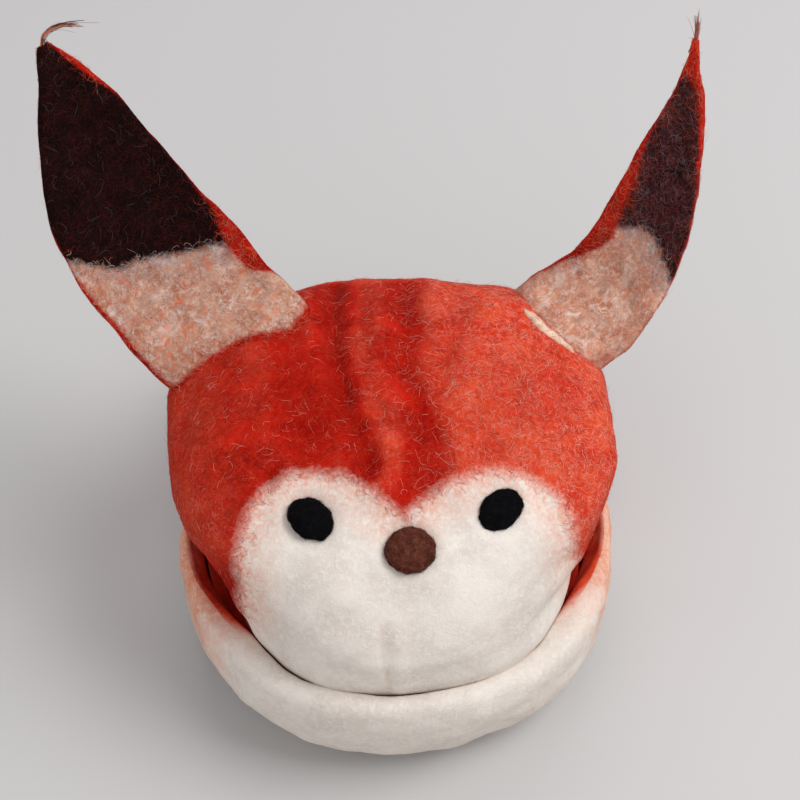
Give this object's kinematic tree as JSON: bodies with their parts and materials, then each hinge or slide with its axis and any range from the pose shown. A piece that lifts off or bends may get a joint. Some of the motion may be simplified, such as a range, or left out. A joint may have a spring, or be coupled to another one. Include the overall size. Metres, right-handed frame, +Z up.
{
  "type": "hand puppet",
  "caption": "Felted fox hand puppet with an opening mouth, a pale face, long dark-tipped ears and a short wrist sleeve.",
  "frame": {"origin": "centre of the flat patch under the lower jaw, which the puppet rests on", "axes": "+Z up, -Y out along the snout, +X towards the side of the right ear as the viewer faces the puppet"},
  "size_m": [0.2095, 0.1833, 0.1984],
  "materials": {
    "red_felt": "fuzzy wet-felted wool, orange red with paler fibres",
    "cream_felt": "fuzzy wet-felted wool, off-white",
    "tan_felt": "fuzzy wet-felted wool, tan mixed from white and orange fibres",
    "dark_felt": "fuzzy wet-felted wool, near black with dark red fibres",
    "black_felt": "needle-felted wool, dense",
    "brown_felt": "needle-felted wool, mottled",
    "mouth_felt": "dark red felt lining",
    "brown_thread": "wool thread"
  },
  "bodies": {
    "sleeve": {"sleeve": "red_felt", "cuff": "red_felt"},
    "head": {"head_cap": "red_felt", "face_mask": "cream_felt", "throat": "red_felt", "left_cheek": "red_felt", "right_cheek": "red_felt", "upper_palate": "mouth_felt", "mouth_fold": "mouth_felt", "lip_seam": "brown_thread", "left_eye": "black_felt", "right_eye": "black_felt", "nose": "brown_felt", "right_ear_ridge": "cream_felt"},
    "jaw": {"jaw_shell": "cream_felt", "jaw_lip": "cream_felt", "lower_palate": "mouth_felt"},
    "left_ear": {"left_ear_back": "red_felt", "left_ear_lining": "tan_felt", "left_ear_dark_tip": "dark_felt", "left_ear_wisp": "dark_felt"},
    "right_ear": {"right_ear_back": "red_felt", "right_ear_lining": "tan_felt", "right_ear_dark_tip": "dark_felt", "right_ear_wisp": "dark_felt"}
  },
  "joints": [
    {"name": "head_nod", "type": "hinge", "parent": "sleeve", "child": "head", "pos_m": [0, 0.092, 0.047], "axis": [1, 0, 0], "range_deg": [-25, 20]},
    {"name": "jaw_open", "type": "hinge", "parent": "head", "child": "jaw", "pos_m": [0, 0.04, 0.036], "axis": [1, 0, 0], "range_deg": [0, 38], "stiffness_Nm_per_rad": 0.05, "springref_deg": -22.92},
    {"name": "left_ear_bend", "type": "hinge", "parent": "head", "child": "left_ear", "pos_m": [-0.05132, 0.06379, 0.10198], "axis": [0.8318, 0.4973, 0.2464], "range_deg": [-40, 60], "stiffness_Nm_per_rad": 0.07},
    {"name": "right_ear_bend", "type": "hinge", "parent": "head", "child": "right_ear", "pos_m": [0.06146, 0.0713, 0.0933], "axis": [0.6544, -0.7559, -0.0194], "range_deg": [-40, 60], "stiffness_Nm_per_rad": 0.07}
  ]
}
